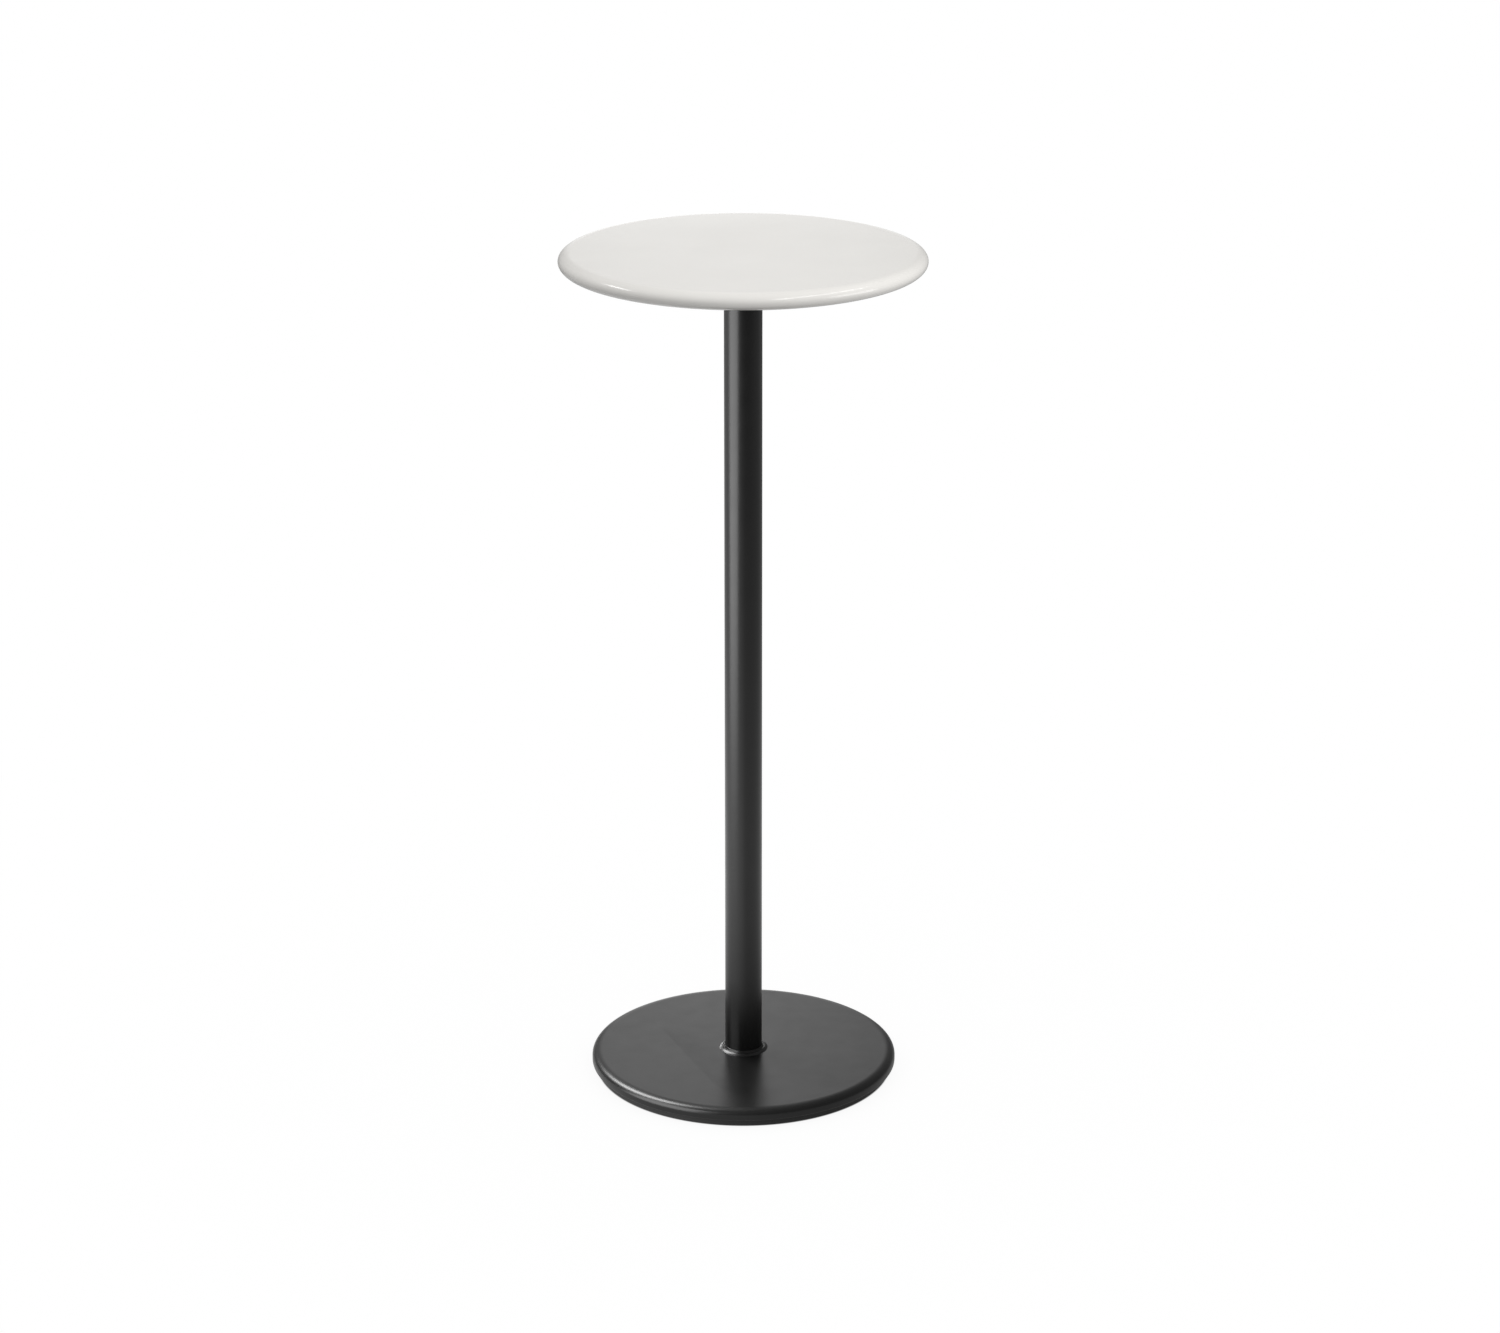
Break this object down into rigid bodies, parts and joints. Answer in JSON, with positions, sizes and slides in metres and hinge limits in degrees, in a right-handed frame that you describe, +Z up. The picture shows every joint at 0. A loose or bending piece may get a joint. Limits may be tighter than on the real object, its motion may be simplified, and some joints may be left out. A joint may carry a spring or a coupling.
{
  "type": "bar table",
  "caption": "Round bar table: a white disc top with a rounded edge on a slim black column and a flat round black foot on levelling glides.",
  "frame": {"origin": "on the floor, under the middle of the column", "axes": "+Z up along the column; the table is round, and its four glides and four top screws stand on the diagonals between +X and +Y"},
  "size_m": [0.4599, 0.46, 1.1],
  "materials": {
    "white_board": "satin",
    "black_powder_coat": "satin",
    "black_cast_iron": "matte",
    "zinc_plated_steel": "satin",
    "black_nylon": "matte",
    "brass": "satin"
  },
  "bodies": {
    "pedestal": {"tabletop": "white_board", "tabletop_inserts": "brass", "top_screws": "zinc_plated_steel", "screw_washers": "zinc_plated_steel", "mounting_plate": "black_powder_coat", "head_weld": "black_powder_coat", "column_tube": "black_powder_coat", "foot_plug": "zinc_plated_steel", "foot_collar": "black_powder_coat", "base_cover": "black_powder_coat", "ballast_plate": "black_cast_iron", "draw_bolt": "zinc_plated_steel", "lock_washer": "zinc_plated_steel", "draw_washer": "zinc_plated_steel"},
    "glide_1_pad": {"glide_pad_1": "black_nylon"},
    "glide_1_stud": {"glide_stud_1": "zinc_plated_steel"},
    "glide_2_pad": {"glide_pad_2": "black_nylon"},
    "glide_2_stud": {"glide_stud_2": "zinc_plated_steel"},
    "glide_3_pad": {"glide_pad_3": "black_nylon"},
    "glide_3_stud": {"glide_stud_3": "zinc_plated_steel"},
    "glide_4_pad": {"glide_pad_4": "black_nylon"},
    "glide_4_stud": {"glide_stud_4": "zinc_plated_steel"}
  },
  "joints": [
    {"name": "glide_1_travel", "type": "slide", "parent": "pedestal", "child": "glide_1_pad", "axis": [0, 0, -1], "range_m": [0, 0.005]},
    {"name": "glide_1_turn", "type": "hinge", "parent": "glide_1_pad", "child": "glide_1_stud", "pos_m": [0.11667, 0.11667, 0], "axis": [0, 0, -1], "range_deg": [0, 1440]},
    {"name": "glide_2_travel", "type": "slide", "parent": "pedestal", "child": "glide_2_pad", "axis": [0, 0, -1], "range_m": [0, 0.005]},
    {"name": "glide_2_turn", "type": "hinge", "parent": "glide_2_pad", "child": "glide_2_stud", "pos_m": [-0.11667, 0.11667, 0], "axis": [0, 0, -1], "range_deg": [0, 1440]},
    {"name": "glide_3_travel", "type": "slide", "parent": "pedestal", "child": "glide_3_pad", "axis": [0, 0, -1], "range_m": [0, 0.005]},
    {"name": "glide_3_turn", "type": "hinge", "parent": "glide_3_pad", "child": "glide_3_stud", "pos_m": [-0.11667, -0.11667, 0], "axis": [0, 0, -1], "range_deg": [0, 1440]},
    {"name": "glide_4_travel", "type": "slide", "parent": "pedestal", "child": "glide_4_pad", "axis": [0, 0, -1], "range_m": [0, 0.005]},
    {"name": "glide_4_turn", "type": "hinge", "parent": "glide_4_pad", "child": "glide_4_stud", "pos_m": [0.11667, -0.11667, 0], "axis": [0, 0, -1], "range_deg": [0, 1440]}
  ],
  "couplings": [
    {"joint": "glide_1_travel", "follows": "glide_1_turn", "m_per_rad": 0.00019894},
    {"joint": "glide_2_travel", "follows": "glide_2_turn", "m_per_rad": 0.00019894},
    {"joint": "glide_3_travel", "follows": "glide_3_turn", "m_per_rad": 0.00019894},
    {"joint": "glide_4_travel", "follows": "glide_4_turn", "m_per_rad": 0.00019894}
  ]
}
